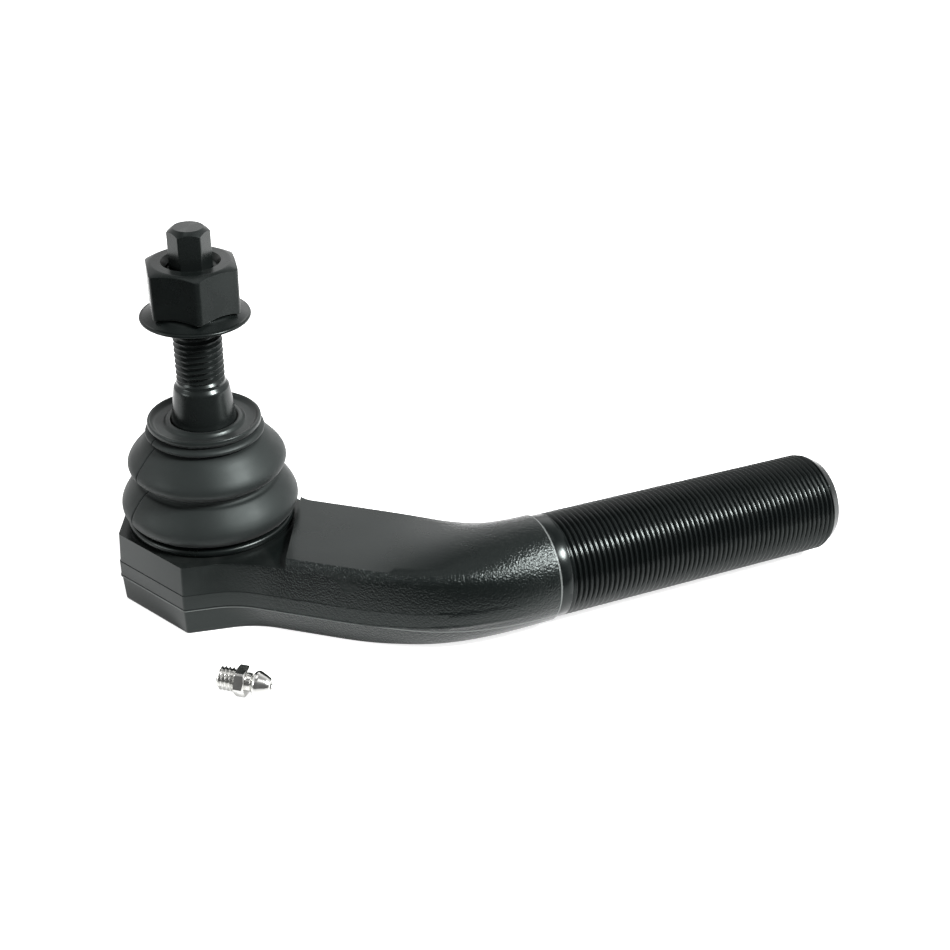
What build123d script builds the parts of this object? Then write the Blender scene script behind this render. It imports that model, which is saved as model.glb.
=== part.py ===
from build123d import *
import os
from math import acos, cos, degrees, radians, sin, sqrt, tan

# Offset tie rod end: a forged socket and arm with a threaded shank, and a ball stud that
# swings and spins in it under a rubber dust boot. A captive-washer nut is run onto the stud,
# and the grease fitting lies loose beside the head. Millimetres. The origin is the centre of
# the ball, +Z runs up the stud, and +X runs parallel to the shank.

# ---------------------------------------------------------------- driving dimensions

# Socket and its heights above the flat base
ball_height = 17.3          # base to ball centre
ball_radius = 10.5
head_top = 20.3             # machined face round the boot
head_apothem = 23.3         # flat to centre, at the parting line
head_front_apothem = 24.9   # the flat beside the arm
head_parting = 10.7         # height of the forging's parting line
head_draft = 3.0            # degrees, both ways from the parting line
head_flats = (0.0, 45.0, 103.0, 157.0, 207.0)   # where each flat faces, degrees from +X
front_flat = 260.0

# Neck that carries the boot, and the bore behind it
neck_radius = 17.7
neck_top = 25.3
bore_radius = 13.0
bearing_seat = 24.2         # underside of the retaining lip
recess_radius = 15.2        # pocket for the cover, open at the base

# Cover stack, heights above the base
snap_ring_z = 0.5
snap_ring_thickness = 1.0
snap_ring_depth = 1.0       # how far the ring stands into its groove
cover_thickness = 2.2
spring_height = 2.2
spring_thickness = 0.7
boss_radius = 4.5
boss_height = 1.9
grease_hole_radius = 2.6    # minor radius of an M6 thread
seal_section = 0.45

# Arm
arm_angle = -37.6           # degrees from +X
arm_setover = 4.4           # arm centre line from the ball centre
arm_half_width = 16.5       # at the parting line
arm_top = 22.5
arm_parting = 11.5
arm_outer_bend = 38.0
arm_draft = 9.0             # degrees, above the parting line
arm_lower_draft = 18.0
step_distance = 22.6        # straight edge of the machined face, from the ball centre
step_angle = -25.8

# Shank
shank_radius = 13.5         # M27 x 1.5
shank_y = -47.8
shank_height = 14.1
shoulder_x = 72.0
shoulder_radius = 14.0
shank_length = 87.0
shank_chamfer = 2.0
swell_x = 61.0              # where the arm starts to swell into the shoulder
swell_corner = 8.0

# Ball stud, heights above the base
stud_neck_radius = 5.8
stud_flare_start = 36.0
stud_collar_z = 43.2
stud_collar_radius = 8.2
taper_z = 49.4
taper_large_radius = 7.9
taper_top = 57.8
taper_angle = 7.2           # half angle, degrees
thread_radius = 6.0         # M12 x 1.5
thread_z = 59.6
thread_top = 90.4
tip_across_flats = 9.0
tip_top = 101.2
tip_chamfer = 0.9
tip_turn = -4.0              # degrees, how the hex happens to stand

# Dust boot, heights above the base
boot_wall = 1.6
boot_foot_z = 20.5
boot_foot_radius = 19.7
boot_groove_z = 22.7
boot_lower_radius = 22.7
boot_lower_z = 25.8
boot_waist_radius = 17.2
boot_waist_z = 32.9
boot_upper_radius = 20.0
boot_upper_z = 37.0
boot_throat_radius = 13.0
boot_throat_z = 44.8
boot_lip_radius = 14.1
boot_lip_z = 47.1
clamp_radius = 21.5
clamp_height = 1.7

# Ring moulded over steel that carries the top of the boot
ring_radius = 14.25
ring_height = 2.0
ring_hub_radius = 10.3
ring_hub_height = 1.2
ring_dish = 0.9

# Nut and its captive washer, heights above the base
nut_z = 79.7
nut_top = 91.3
nut_across_flats = 20.8
nut_chamfer = 1.1
nut_turn = 25.0             # degrees, how the nut happens to stand
nut_spigot_radius = 8.4
washer_z = 76.9
washer_rim = 0.9
washer_radius = 13.4
washer_top_radius = 10.4

# Grease fitting, lengths along it from the threaded end
fitting_x = -12.2
fitting_y = -45.8
fitting_angle = -37.8
fitting_thread_radius = 3.0
fitting_thread = 4.6
fitting_across_flats = 7.0
fitting_hex = 2.8
fitting_neck_radius = 2.3
fitting_neck = 1.4
fitting_head_radius = 3.2
fitting_head = 4.4
fitting_nose_radius = 1.7
fitting_bore_radius = 1.3
fitting_mouth_radius = 0.8
check_ball_radius = 1.15
check_spring_radius = 1.2
check_spring_length = 3.2

# Clearances
run = 0.05                  # a shaft or ball in its own bearing
fit = 0.02                  # a piece held in its seat
free = 0.3                  # soft or loose pieces beside each other
swing = 17.0                # stud swing each way, degrees

# ---------------------------------------------------------------- derived values

base_z = -ball_height
combined_swing = degrees(acos(cos(radians(swing)) ** 2))
cover_z = snap_ring_z + snap_ring_thickness
cover_top = cover_z + cover_thickness
seat_z = cover_top + spring_height
half_turn = 180.0
BOTTOM = (Align.CENTER, Align.CENTER, Align.MIN)


def flat(angle, distance):
    """A line in plan: where it faces, and how far it lies from the ball centre."""
    return cos(radians(angle)), sin(radians(angle)), distance


def crossing(a, b):
    """The plan point where two such lines meet."""
    det = a[0] * b[1] - a[1] * b[0]
    return (a[2] * b[1] - a[1] * b[2]) / det, (a[0] * b[2] - a[2] * b[0]) / det


def turned(*points):
    """A solid of revolution about +Z, from (radius, height above the base) points."""
    return revolve(Plane.XZ * Polygon(*[(r, base_z + z) for r, z in points], align=None))


def disc(radius, low, high):
    """A plain cylinder about +Z between two heights above the base."""
    return Pos(0, 0, base_z + low) * Cylinder(radius, high - low, align=BOTTOM)


def hexagon(across_flats, low, high, turn=0.0):
    """A hexagonal prism about +Z between two heights above the base."""
    outline = RegularPolygon(across_flats / 2, 6, major_radius=False)
    return Pos(0, 0, base_z + low) * Rot(0, 0, turn) * extrude(outline, high - low)


def opening_radius(height, neck, angle):
    """Room that a neck swung by angle needs, at a height above the ball centre."""
    return height * tan(radians(angle)) + neck / cos(radians(angle)) + free


# ---------------------------------------------------------------- forged body


def drafted(outline, parting, top, upper_draft, lower_draft):
    """An outline drafted both ways from its parting line, down to the base and up to top."""
    sketch = Pos(0, 0, base_z + parting) * outline
    upper = extrude(sketch, top - parting, taper=upper_draft)
    return upper + extrude(sketch, -parting, taper=lower_draft)


def head():
    lines = [flat(a, head_apothem) for a in head_flats]
    lines.append(flat(front_flat, head_front_apothem))
    corners = [crossing(lines[i - 1], lines[i]) for i in range(len(lines))]
    outline = make_face(Polyline(*corners, close=True))
    return drafted(outline, head_parting, head_top, head_draft, head_draft)


def arm_sides():
    """The arm's two long sides in plan, at the parting line."""
    side = arm_angle - 90.0
    front = flat(side, arm_setover + arm_half_width)
    return front, flat(side + half_turn, arm_half_width - arm_setover)


def arm():
    front, back = arm_sides()
    root = flat(arm_angle + half_turn, 0.0)
    end = flat(0.0, swell_x)
    outer = flat(-90.0, shoulder_radius - shank_y)
    bend = FilletPolyline(
        crossing(root, front),
        crossing(front, outer),
        crossing(outer, end),
        radius=arm_outer_bend,
    )
    rest = Polyline(bend @ 1, crossing(end, back), crossing(back, root), bend @ 0)
    outline = make_face([*bend.edges(), *rest.edges()])
    return drafted(outline, arm_parting, arm_top, arm_draft, arm_lower_draft)


def shoulder():
    """The arm's squarish end swelling into the round shoulder."""
    back_y = crossing(flat(0.0, swell_x), arm_sides()[1])[1]
    front_y = shank_y - shoulder_radius
    inset = arm_parting * tan(radians(arm_draft))
    width = back_y - front_y - 2 * inset
    start = (swell_x - 1.0, (back_y + front_y) / 2, base_z + arm_top / 2)
    stop = (shoulder_x, shank_y, base_z + shank_height)
    square = Plane(start, x_dir=(0, 1, 0), z_dir=(1, 0, 0)) * RectangleRounded(
        width, arm_top, swell_corner
    )
    disc_end = Plane(stop, x_dir=(0, 1, 0), z_dir=(1, 0, 0)) * Circle(shoulder_radius)
    return loft([square, disc_end])


def forged_body():
    body = head() + arm() + shoulder()
    above = Pos(0, 0, base_z + head_top) * Rot(0, 0, step_angle) * Pos(step_distance, 0, 0)
    body -= above * Box(90, 90, 20, align=(Align.MAX, Align.CENTER, Align.MIN))
    body += turned(
        (0, head_top - 1.0),
        (neck_radius, head_top - 1.0),
        (neck_radius, neck_top - 0.6),
        (neck_radius - 0.6, neck_top),
        (0, neck_top),
    )
    lip = opening_radius(bearing_seat - ball_height, stud_neck_radius, combined_swing)
    rim = opening_radius(neck_top - ball_height, stud_neck_radius, combined_swing)
    body -= turned(
        (0, -1.0),
        (recess_radius, -1.0),
        (recess_radius, cover_top),
        (bore_radius, cover_top),
        (bore_radius, bearing_seat),
        (lip, bearing_seat),
        (rim, neck_top),
        (rim, neck_top + 1.0),
        (0, neck_top + 1.0),
    )
    groove = disc(recess_radius + snap_ring_depth, snap_ring_z, cover_z)
    body -= groove
    shank = Cylinder(shank_radius, shank_length, align=BOTTOM)
    shank = chamfer(shank.edges().group_by(Axis.Z)[-1], shank_chamfer)
    return body + Pos(shoulder_x, shank_y, base_z + shank_height) * Rot(0, 90, 0) * shank


# ---------------------------------------------------------------- socket pieces


def upper_bearing():
    """Race above the ball: spherical inside, opened out to clear the swung neck."""
    outer = bore_radius - fit
    low, high = ball_height + 0.3, bearing_seat - fit
    race = turned((0, low), (outer, low), (outer, high), (0, high)) - Sphere(ball_radius + run)
    height = high - ball_height
    return race - turned(
        (0, ball_height),
        (opening_radius(0, stud_neck_radius, combined_swing), ball_height),
        (opening_radius(height + 1.0, stud_neck_radius, combined_swing), high + 1.0),
        (0, high + 1.0),
    )


def lower_bearing():
    """Spring-loaded seat under the ball, with a hole for the grease."""
    outer = bore_radius - run
    low, high = seat_z, ball_height - 0.3
    seat = turned(
        (boss_radius + free, low),
        (outer, low),
        (outer, high),
        (boss_radius + free, high),
    )
    return seat - Sphere(ball_radius + run)


def preload_spring():
    """Coned spring washer between the cover and the seat."""
    inner, outer = boss_radius + 2.0, bore_radius - 1.2
    low, high = cover_top, seat_z
    return turned(
        (inner, high - spring_thickness),
        (outer, low),
        (outer, low + spring_thickness),
        (inner, high),
    )


def cover_plate():
    edge = recess_radius - fit
    mid = cover_z + cover_thickness / 2
    groove = 2 * seal_section
    plate = turned(
        (grease_hole_radius, cover_z),
        (edge, cover_z),
        (edge, mid - seal_section),
        (edge - groove, mid - seal_section),
        (edge - groove, mid + seal_section),
        (edge, mid + seal_section),
        (edge, cover_top),
        (boss_radius, cover_top),
        (boss_radius, cover_top + boss_height),
        (grease_hole_radius, cover_top + boss_height),
    )
    return plate


def cover_seal():
    mid = base_z + cover_z + cover_thickness / 2
    return Pos(0, 0, mid) * Torus(recess_radius - seal_section - fit, seal_section - fit)


def snap_ring():
    """Open ring sprung into the groove, with two lugs beside the gap."""
    outer, inner = recess_radius + snap_ring_depth - 0.2, recess_radius - 1.6
    low, high = snap_ring_z + fit, cover_z - fit
    ring = disc(outer, low, high) - disc(inner, low - 1, high + 1)
    lug_x, lug_y, lug_radius = -(inner - 0.6), 3.2, 1.7
    height = high - low
    for side in (-1, 1):
        lug = Pos(lug_x, side * lug_y, base_z + low) * Cylinder(lug_radius, height, align=BOTTOM)
        eye = Pos(lug_x, side * lug_y, base_z + low) * Cylinder(0.7, height, align=BOTTOM)
        ring = ring + lug - eye
    gap = Pos(-recess_radius, 0, base_z + low) * Box(8, 2.6, height, align=BOTTOM)
    return ring - gap


# ---------------------------------------------------------------- ball stud


def ball_stud():
    taper_small = taper_large_radius - (taper_top - taper_z) * tan(radians(taper_angle))
    neck_z = ball_height + sqrt(ball_radius**2 - stud_neck_radius**2) - 0.5
    shaft = turned(
        (0, neck_z),
        (stud_neck_radius, neck_z),
        (stud_neck_radius, stud_flare_start),
        (stud_collar_radius, stud_collar_z),
        (stud_collar_radius, taper_z),
        (taper_large_radius, taper_z),
        (taper_small, taper_top),
        (thread_radius - 0.9, thread_z - 0.4),
        (thread_radius, thread_z),
        (thread_radius, thread_top - 0.7),
        (thread_radius - 0.7, thread_top),
        (0, thread_top),
    )
    corner = tip_across_flats / sqrt(3)
    blank = turned(
        (0, thread_top - 1.0),
        (corner, thread_top - 1.0),
        (corner, tip_top - tip_chamfer),
        (corner - tip_chamfer, tip_top),
        (0, tip_top),
    )
    tip = hexagon(tip_across_flats, thread_top - 1.0, tip_top, turn=tip_turn) & blank
    return Sphere(ball_radius) + shaft + tip


# ---------------------------------------------------------------- boot and its rings


def boot_side(inset):
    """The boot's wavy side as points joined by arcs, moved inwards by inset."""
    def arc(r0, z0, r1, z1, r2, z2):
        ends = [(r - inset, base_z + z) for r, z in ((r0, z0), (r1, z1), (r2, z2))]
        return ThreePointArc(*ends)
    mid_z = (boot_lower_z + boot_waist_z) / 2 + 0.6
    mid_r = (boot_lower_radius + boot_waist_radius) / 2 + 0.9
    rise_z = (boot_upper_z + boot_throat_z) / 2
    rise_r = (boot_upper_radius + boot_throat_radius) / 2 + 1.1
    return [
        arc(boot_foot_radius, boot_groove_z, boot_lower_radius - 0.5, boot_lower_z - 1.6,
            boot_lower_radius, boot_lower_z),
        arc(boot_lower_radius, boot_lower_z, mid_r, mid_z, boot_waist_radius, boot_waist_z),
        arc(boot_waist_radius, boot_waist_z, boot_upper_radius - 0.7, boot_upper_z - 1.9,
            boot_upper_radius, boot_upper_z),
        arc(boot_upper_radius, boot_upper_z, rise_r, rise_z, boot_throat_radius, boot_throat_z),
    ]


def dust_boot():
    outer, inner = boot_side(0.0), boot_side(boot_wall)
    foot = neck_radius + fit
    bore = stud_collar_radius + free + 1.0
    def point(r, z):
        return r, base_z + z
    lip = Polyline(
        outer[-1] @ 1,
        point(boot_lip_radius, boot_throat_z + 0.9),
        point(boot_lip_radius, boot_lip_z),
        point(bore, boot_lip_z),
        point(bore, boot_throat_z + 0.6),
        inner[-1] @ 1,
    )
    sole = Polyline(
        inner[0] @ 0,
        point(foot, boot_groove_z),
        point(foot, boot_foot_z),
        point(boot_foot_radius, boot_foot_z),
        outer[0] @ 0,
    )
    return revolve(Plane.XZ * make_face([*outer, *lip.edges(), *inner, *sole.edges()]))


def boot_clamp_ring():
    low, high, round_off = boot_foot_z + 0.1, boot_foot_z + 0.1 + clamp_height, 0.5
    inner = boot_foot_radius + fit
    return turned(
        (inner, low),
        (clamp_radius - round_off, low),
        (clamp_radius, low + round_off),
        (clamp_radius, high - round_off),
        (clamp_radius - round_off, high),
        (inner, high),
    )


def boot_ring():
    inner, low = stud_collar_radius + run, boot_lip_z + free
    top = low + ring_height
    return turned(
        (inner, low),
        (ring_radius - 0.3, low),
        (ring_radius, low + 0.3),
        (ring_radius, top - 0.4),
        (ring_radius - 0.5, top),
        (ring_radius - 1.4, top),
        (ring_hub_radius + 0.6, top - ring_dish),
        (ring_hub_radius, top - ring_dish + ring_hub_height),
        (inner, top - ring_dish + ring_hub_height),
    )


# ---------------------------------------------------------------- nut and washer


def hex_nut():
    corner = nut_across_flats / sqrt(3)
    flat_radius = nut_across_flats / 2
    blank = turned(
        (0, nut_z),
        (flat_radius - 0.2, nut_z),
        (corner, nut_z + 1.0),
        (corner, nut_top - nut_chamfer),
        (flat_radius - 0.6, nut_top),
        (0, nut_top),
    )
    body = hexagon(nut_across_flats, nut_z, nut_top, turn=nut_turn) & blank
    body += disc(nut_spigot_radius, washer_z + 0.6, nut_z)
    bore = thread_radius + run
    return body - turned(
        (0, washer_z),
        (bore + 0.8, washer_z),
        (bore + 0.8, washer_z + 0.6),
        (bore, washer_z + 1.4),
        (bore, nut_top - 0.8),
        (bore + 0.8, nut_top),
        (0, nut_top),
    )


def nut_washer():
    inner = nut_spigot_radius + run
    return turned(
        (inner, washer_z + 0.4),
        (inner + 1.0, washer_z),
        (washer_radius, washer_z),
        (washer_radius, washer_z + washer_rim),
        (washer_top_radius, nut_z - run),
        (inner, nut_z - run),
    )


# ---------------------------------------------------------------- grease fitting

fitting_shank = fitting_thread + fitting_hex
fitting_length = fitting_shank + fitting_neck + fitting_head
ball_seat = fitting_length - 2.1      # centre of the check ball, along the fitting
hex_turn = 30.0                       # stands the collar on a flat


def laid(piece):
    """Lay a piece built along +Z on the surface beside the head, resting on one hex flat."""
    rest = base_z + fitting_across_flats / 2
    upright = Rot(0, 90, 0) * Rot(0, 0, hex_turn) * piece
    return Pos(fitting_x, fitting_y, rest) * Rot(0, 0, fitting_angle) * upright


def spun(*points):
    return revolve(Plane.XZ * Polygon(*points, align=None))


def grease_fitting():
    tip = fitting_thread_radius - 0.4
    neck_top_z = fitting_shank + fitting_neck
    body = spun(
        (0, 0),
        (tip, 0),
        (fitting_thread_radius, 1.0),
        (fitting_thread_radius, fitting_thread),
        (0, fitting_thread),
    )
    outline = RegularPolygon(fitting_across_flats / 2, 6, major_radius=False)
    collar = extrude(outline, fitting_hex)
    body += Pos(0, 0, fitting_thread) * collar
    body += spun(
        (0, fitting_shank),
        (fitting_neck_radius, fitting_shank),
        (fitting_neck_radius, neck_top_z),
        (fitting_head_radius, neck_top_z + 0.9),
        (fitting_head_radius, neck_top_z + 1.7),
        (fitting_nose_radius, fitting_length),
        (0, fitting_length),
    )
    seat = check_ball_radius + run
    return body - spun(
        (0, -1),
        (fitting_bore_radius, -1),
        (fitting_bore_radius, ball_seat + 0.4),
        (seat * 0.78, ball_seat + 0.95),
        (fitting_mouth_radius, ball_seat + 1.3),
        (fitting_mouth_radius, fitting_length + 1),
        (0, fitting_length + 1),
    )


def check_ball():
    return Pos(0, 0, ball_seat) * Sphere(check_ball_radius)


def fitting_spring():
    top = ball_seat - check_ball_radius - fit
    coil = Cylinder(check_spring_radius, check_spring_length)
    hollow = Cylinder(check_spring_radius - 0.3, check_spring_length)
    return Pos(0, 0, top - check_spring_length / 2) * (coil - hollow)


# ---------------------------------------------------------------- write the nodes

nodes = {
    "forged_body": forged_body(),
    "upper_bearing": upper_bearing(),
    "lower_bearing": lower_bearing(),
    "preload_spring": preload_spring(),
    "cover_plate": cover_plate(),
    "cover_seal": cover_seal(),
    "snap_ring": snap_ring(),
    "ball_stud": ball_stud(),
    "dust_boot": dust_boot(),
    "boot_clamp_ring": boot_clamp_ring(),
    "boot_ring": boot_ring(),
    "hex_nut": hex_nut(),
    "nut_washer": nut_washer(),
    "grease_fitting": laid(grease_fitting()),
    "check_ball": laid(check_ball()),
    "fitting_spring": laid(fitting_spring()),
}

os.makedirs("parts", exist_ok=True)
for name, shape in nodes.items():
    export_step(shape, f"parts/{name}.step")
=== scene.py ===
from math import acos, cos, degrees, pi, radians, sin, sqrt, tan

import bmesh
import bpy
from mathutils import Matrix, Vector, noise


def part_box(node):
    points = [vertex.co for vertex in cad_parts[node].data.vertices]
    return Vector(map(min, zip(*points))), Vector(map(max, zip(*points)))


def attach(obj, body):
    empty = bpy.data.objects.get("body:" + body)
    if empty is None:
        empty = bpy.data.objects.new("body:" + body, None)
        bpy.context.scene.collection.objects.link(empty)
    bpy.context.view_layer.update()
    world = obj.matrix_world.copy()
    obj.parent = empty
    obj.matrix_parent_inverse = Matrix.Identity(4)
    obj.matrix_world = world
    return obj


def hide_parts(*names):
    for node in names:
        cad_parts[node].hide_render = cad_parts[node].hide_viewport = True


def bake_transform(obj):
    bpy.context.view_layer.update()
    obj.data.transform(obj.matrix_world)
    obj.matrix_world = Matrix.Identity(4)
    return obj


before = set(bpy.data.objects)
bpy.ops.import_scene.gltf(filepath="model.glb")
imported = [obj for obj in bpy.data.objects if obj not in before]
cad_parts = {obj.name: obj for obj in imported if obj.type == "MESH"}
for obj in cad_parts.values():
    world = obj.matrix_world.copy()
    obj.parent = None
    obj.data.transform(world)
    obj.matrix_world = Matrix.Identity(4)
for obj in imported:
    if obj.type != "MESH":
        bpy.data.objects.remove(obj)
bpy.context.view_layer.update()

# ================================================================ studio
# The part stands on a plain white sweep under four soft lamps, seen from its left front
# corner and a little above. The camera is worked out from where it stands and looks.

MM = 0.001
floor_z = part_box("forged_body")[0].z
UPRIGHT = Matrix.Translation((0, 0, floor_z)) @ Matrix.Scale(MM, 4)    # mm, heights above the base

camera_place = Vector((-0.06852, -0.30223, floor_z + 0.21661))
camera_heading = 0.447      # radians, from +Y towards +X, as are the two below
camera_pitch = -0.543
camera_roll = 0.030
camera_lens = 51.76


def facing(heading, pitch, roll):
    """A camera's turn in the world, from the way it looks."""
    ahead = Vector((sin(heading) * cos(pitch), cos(heading) * cos(pitch), sin(pitch)))
    level = Vector((cos(heading), -sin(heading), 0))
    upward = level.cross(ahead)
    right = cos(roll) * level + sin(roll) * upward
    up = -sin(roll) * level + cos(roll) * upward
    return Matrix((right, up, -ahead)).transposed().to_4x4()


scene = bpy.context.scene
scene.view_settings.view_transform = "Standard"
lens = bpy.data.cameras.new("camera")
lens.lens = camera_lens
lens.sensor_width = 36
lens.clip_start = 0.01
camera = bpy.data.objects.new("camera", lens)
camera.matrix_world = Matrix.Translation(camera_place) @ facing(camera_heading, camera_pitch, camera_roll)
scene.collection.objects.link(camera)
scene.camera = camera


def lamp(name, place, target, size, power):
    """A soft rectangular lamp aimed at a point."""
    light = bpy.data.lights.new(name, "AREA")
    light.shape = "RECTANGLE"
    light.size, light.size_y = size
    light.energy = power
    made = bpy.data.objects.new(name, light)
    aim = (Vector(target) - Vector(place)).to_track_quat("-Z", "Y")
    made.matrix_world = Matrix.Translation(place) @ aim.to_matrix().to_4x4()
    scene.collection.objects.link(made)


lamp("key_lamp", (0.41, -0.46, 0.57), (0.05, -0.03, 0.02), (0.20, 0.17), 15.5)
lamp("overhead_lamp", (0.02, 0.05, 0.85), (0.03, -0.02, 0), (0.55, 0.40), 0.9)
lamp("left_lamp", (-0.75, -0.05, 0.30), (0.0, 0.0, 0.04), (0.30, 0.30), 2.0)
lamp("rear_lamp", (0.45, 0.75, 0.45), (0.05, -0.02, 0), (0.5, 0.4), 0.6)


def node(tree, kind, sockets=None, **settings):
    """A shader node with its settings, and its inputs set or linked by name or number."""
    made = tree.nodes.new(kind)
    for key, value in settings.items():
        setattr(made, key, value)
    for key, value in (sockets or {}).items():
        if isinstance(value, bpy.types.NodeSocket):
            tree.links.new(value, made.inputs[key])
        else:
            made.inputs[key].default_value = value
    return made


def maths(tree, operation, *values, clamp=False):
    """The result of a maths node."""
    made = node(tree, "ShaderNodeMath", dict(enumerate(values)), operation=operation, use_clamp=clamp)
    return made.outputs[0]


def spread(tree, value, low, high, start=0.0, stop=1.0, curve="LINEAR"):
    """Start to stop, as a value goes from low to high."""
    made = node(tree, "ShaderNodeMapRange", {"Value": value, "From Min": low, "From Max": high,
                                             "To Min": start, "To Max": stop}, interpolation_type=curve)
    return made.outputs[0]


def noisy(tree, place, scale, detail, **sockets):
    """A cloudy pattern, from 0 to 1."""
    made = node(tree, "ShaderNodeTexNoise", {"Vector": place, "Scale": scale, "Detail": detail, **sockets})
    return made.outputs["Fac"]


def mixed(tree, share, first, second):
    """A colour between two others."""
    return node(tree, "ShaderNodeMix", {0: share, 6: first, 7: second}, data_type="RGBA").outputs[2]


def rays(tree):
    """Whether a ray comes from the camera, and whether it comes from a mirror or through glass."""
    path = node(tree, "ShaderNodeLightPath")
    glossy, through = path.outputs["Is Glossy Ray"], path.outputs["Is Transmission Ray"]
    return path.outputs["Is Camera Ray"], maths(tree, "ADD", glossy, through, clamp=True)


# The studio's front and its ceiling are unlit. Only mirror rays meet them, so black gloss stays dark
# where it faces them, while the background and the plain lighting stay even.

front_side = (-sin(camera_heading), -cos(camera_heading), 0)


def towards_front(tree, place, near, far):
    """0 to 1 as a place or a way goes from near to far towards the unlit front of the studio."""
    reach = node(tree, "ShaderNodeVectorMath", {0: place, 1: front_side}, operation="DOT_PRODUCT")
    return spread(tree, reach.outputs["Value"], near, far, curve="SMOOTHSTEP")


sky_plain, sky_seen, sky_loss = 0.35, 1.0, 0.85
ceiling_edge, ceiling_full = 0.72, 0.92         # how steeply up a mirror ray looks
front_edge, front_full = 0.30, 0.75             # how squarely to the front it looks

sky = bpy.data.worlds.new("studio")
scene.world = sky
sky.use_nodes = True
sky_tree = sky.node_tree
sky_way = node(sky_tree, "ShaderNodeTexCoord").outputs["Generated"]
sky_height = node(sky_tree, "ShaderNodeSeparateXYZ", {0: sky_way}).outputs["Z"]
ceiling = spread(sky_tree, sky_height, ceiling_edge, ceiling_full)
front = towards_front(sky_tree, sky_way, front_edge, front_full)
sky_direct, sky_mirror = rays(sky_tree)
shaded = maths(sky_tree, "MULTIPLY", maths(sky_tree, "MAXIMUM", ceiling, front), sky_mirror)
sky_watched = maths(sky_tree, "ADD", sky_direct, sky_mirror, clamp=True)
sky_bright = spread(sky_tree, sky_watched, 0.0, 1.0, sky_plain, sky_seen)
sky_strength = maths(sky_tree, "MULTIPLY_ADD", shaded, -sky_loss, sky_bright)
sky_light = sky_tree.nodes["Background"]
sky_tree.links.new(sky_strength, sky_light.inputs["Strength"])
sky_light.inputs["Color"].default_value = (1, 1, 1, 1)

sweep_size = 3.0
sweep_drop = 0.00002                            # keeps the sweep clear of the part's flat base
sweep_mirrored, sweep_seen, sweep_unlit = 0.50, 0.80, 0.10
unlit_from, unlit_to = 0.03, 0.09               # in front of the ball centre

bpy.ops.mesh.primitive_plane_add(size=sweep_size, location=(0, 0, floor_z - sweep_drop))
sweep = bpy.context.object
sweep.name = "sweep"
sweep_paint = bpy.data.materials.new("sweep_paint")
sweep_paint.use_nodes = True
sweep_tree = sweep_paint.node_tree
sweep_tree.nodes.clear()
white = (1, 1, 1, 1)
sweep_direct, sweep_mirror = rays(sweep_tree)
sweep_watched = maths(sweep_tree, "ADD", sweep_direct, sweep_mirror, clamp=True)
brightness = spread(sweep_tree, sweep_direct, 0.0, 1.0, sweep_mirrored, sweep_seen)
matt = node(sweep_tree, "ShaderNodeBsdfDiffuse", {"Color": (0.8, 0.8, 0.8, 1)}).outputs[0]
glow = node(sweep_tree, "ShaderNodeEmission", {"Color": white, "Strength": brightness}).outputs[0]
both = node(sweep_tree, "ShaderNodeAddShader", {0: matt, 1: glow}).outputs[0]
chosen = node(sweep_tree, "ShaderNodeMixShader", {0: sweep_watched, 1: matt, 2: both}).outputs[0]
sweep_place = node(sweep_tree, "ShaderNodeNewGeometry").outputs["Position"]
sweep_front = towards_front(sweep_tree, sweep_place, unlit_from, unlit_to)
unlit = maths(sweep_tree, "MULTIPLY", sweep_front, sweep_mirror)
dim = node(sweep_tree, "ShaderNodeEmission", {"Color": white, "Strength": sweep_unlit}).outputs[0]
swept = node(sweep_tree, "ShaderNodeMixShader", {0: unlit, 1: chosen, 2: dim}).outputs[0]
node(sweep_tree, "ShaderNodeOutputMaterial", {"Surface": swept})
sweep.data.materials.append(sweep_paint)

# ================================================================ forging
# Socket head, bent arm and shoulder are one steel forging, drafted both ways from its flash
# line and coated black. The head's top is milled flat down to a straight step, and the
# socket is bored from below.

flash_low, flash_high = 7.5, 12.1
flash_step = 0.32                       # how far the flash band stands out below it
band_step, band_inset = 0.45, 0.14      # the band's lower edge stands out past the rest of it
head_flats = ((0.0, 23.3), (45.0, 23.3), (103.0, 23.3), (157.0, 23.3), (207.0, 23.3), (260.0, 25.0))
head_corner = 1.1
arm_angle = -37.6
arm_front, arm_back = 20.9, 12.2        # the arm's sides from the ball centre, at the flash line
arm_top = 22.5
head_top = 20.3
waist_radius = 24.0
back_radius = 7.0
shank_y, shank_height, shank_radius = -47.8, 14.1, 13.5
shoulder_x, shoulder_radius = 72.0, 14.0
bend_start = 30.0                       # along the arm from the ball centre
step_distance, step_angle = 22.6, -25.8


def line(angle, distance):
    """A line in plan: the way it faces, and how far it lies from the ball centre."""
    return cos(radians(angle)), sin(radians(angle)), distance


def crossing(a, b):
    det = a[0] * b[1] - a[1] * b[0]
    return Vector(((a[2] * b[1] - a[1] * b[2]) / det, (a[0] * b[2] - a[2] * b[0]) / det))


def side_inset(h, draft_down, draft_up, foot, crown, flush, top):
    """How far a forged side stands back from the flash band, at a height above the base."""
    if h < flash_low:
        inset = flash_step + (flash_low - h) * tan(radians(draft_down))
    elif h > flash_high:
        inset = flash_step + (h - flash_high) * tan(radians(draft_up))
    else:
        inset = 0.0 if h < flash_low + band_step else band_inset
    if h < foot:
        inset += foot - sqrt(foot**2 - (foot - h) ** 2)
    if crown and h > top + flush - crown:
        inset += crown - sqrt(crown**2 - (h - top - flush + crown) ** 2)
    return inset


def head_inset(h):
    return side_inset(h, 3.0, 3.0, 0.5, 0.0, 0.0, arm_top)


def arm_inset(h):
    return side_inset(h, 18.0, 5.0, 0.6, 3.6, 0.55, arm_top)


def spaced(low, high, count):
    return [low + (high - low) * i / count for i in range(count)]


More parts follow.
